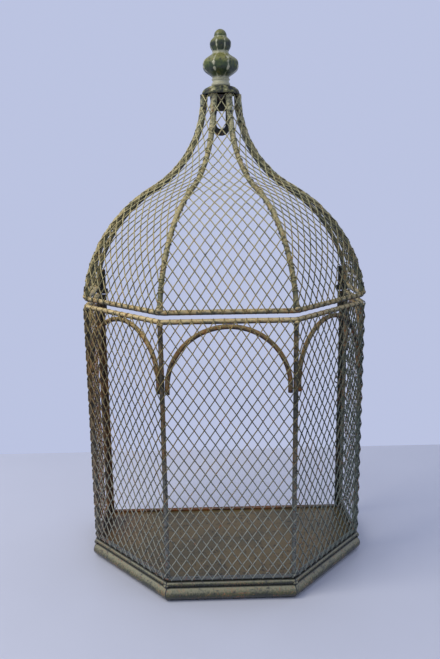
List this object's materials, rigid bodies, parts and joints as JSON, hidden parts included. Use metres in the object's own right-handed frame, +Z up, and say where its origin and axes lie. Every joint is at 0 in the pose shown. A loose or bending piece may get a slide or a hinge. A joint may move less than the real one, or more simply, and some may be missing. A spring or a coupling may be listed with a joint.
{
  "type": "wire cloche",
  "caption": "Half-octagon garden cloche of iron rod and diamond wire mesh with an open back, a moulded base and an onion-shaped dome hinged at the back.",
  "frame": {"origin": "on the ground, at the middle of the outline seen from above", "axes": "+Z up, +Y towards the open back, +X to the right when the front is faced"},
  "size_m": [0.359, 0.2154, 0.6753],
  "materials": {
    "base_paint": "satin grey-olive paint, chipped, with rust specks and dark grooves",
    "floor_rust": "olive-brown paint, mottled and rusted",
    "mesh_wire": "thin grey-green paint on steel wire, tan where it has worn",
    "ring_paint": "sage paint worn to ochre on the upper faces, dark below",
    "frame_paint": "grey-green paint, worn and rusted at the back",
    "finial_paint": "green paint with cream and ochre in the grooves",
    "bare_steel": "dull bare steel",
    "dark_iron": "near-black iron with rust"
  },
  "bodies": {
    "cage": {"floor_plate": "floor_rust", "back_bar": "floor_rust", "foot_rail": "frame_paint", "body_ring": "ring_paint", "base_left_side": "base_paint", "base_left_diagonal": "base_paint", "base_front": "base_paint", "base_right_diagonal": "base_paint", "base_right_side": "base_paint", "post_rear_left": "frame_paint", "post_side_left": "frame_paint", "post_front_left": "frame_paint", "post_front_right": "frame_paint", "post_side_right": "frame_paint", "post_rear_right": "frame_paint", "arch_left_side": "frame_paint", "arch_left_diagonal": "frame_paint", "arch_front": "frame_paint", "arch_right_diagonal": "frame_paint", "arch_right_side": "frame_paint", "cage_mesh_left_side": "mesh_wire", "cage_mesh_left_diagonal": "mesh_wire", "cage_mesh_front": "mesh_wire", "cage_mesh_right_diagonal": "mesh_wire", "cage_mesh_right_side": "mesh_wire", "catch_eye": "dark_iron", "low_hinge_left": "dark_iron", "low_hinge_right": "dark_iron", "hinge_pin_left": "bare_steel", "hinge_pin_right": "bare_steel"},
    "dome": {"dome_ring": "ring_paint", "rib_rear_left": "ring_paint", "rib_side_left": "ring_paint", "rib_front_left": "ring_paint", "rib_front_right": "ring_paint", "rib_side_right": "ring_paint", "rib_rear_right": "ring_paint", "dome_mesh_left_side": "mesh_wire", "dome_mesh_left_diagonal": "mesh_wire", "dome_mesh_front": "mesh_wire", "dome_mesh_right_diagonal": "mesh_wire", "dome_mesh_right_side": "mesh_wire", "high_hinge_left": "dark_iron", "high_hinge_right": "dark_iron", "neck_plate": "dark_iron", "neck_cap": "finial_paint", "hanging_eye": "dark_iron", "finial": "finial_paint", "finial_stud": "bare_steel", "finial_nut": "bare_steel"}
  },
  "joints": [
    {"name": "dome_hinge", "type": "hinge", "parent": "cage", "child": "dome", "pos_m": [0, 0.10375, 0.34385], "axis": [1, 0, 0], "range_deg": [-100, 0]}
  ]
}
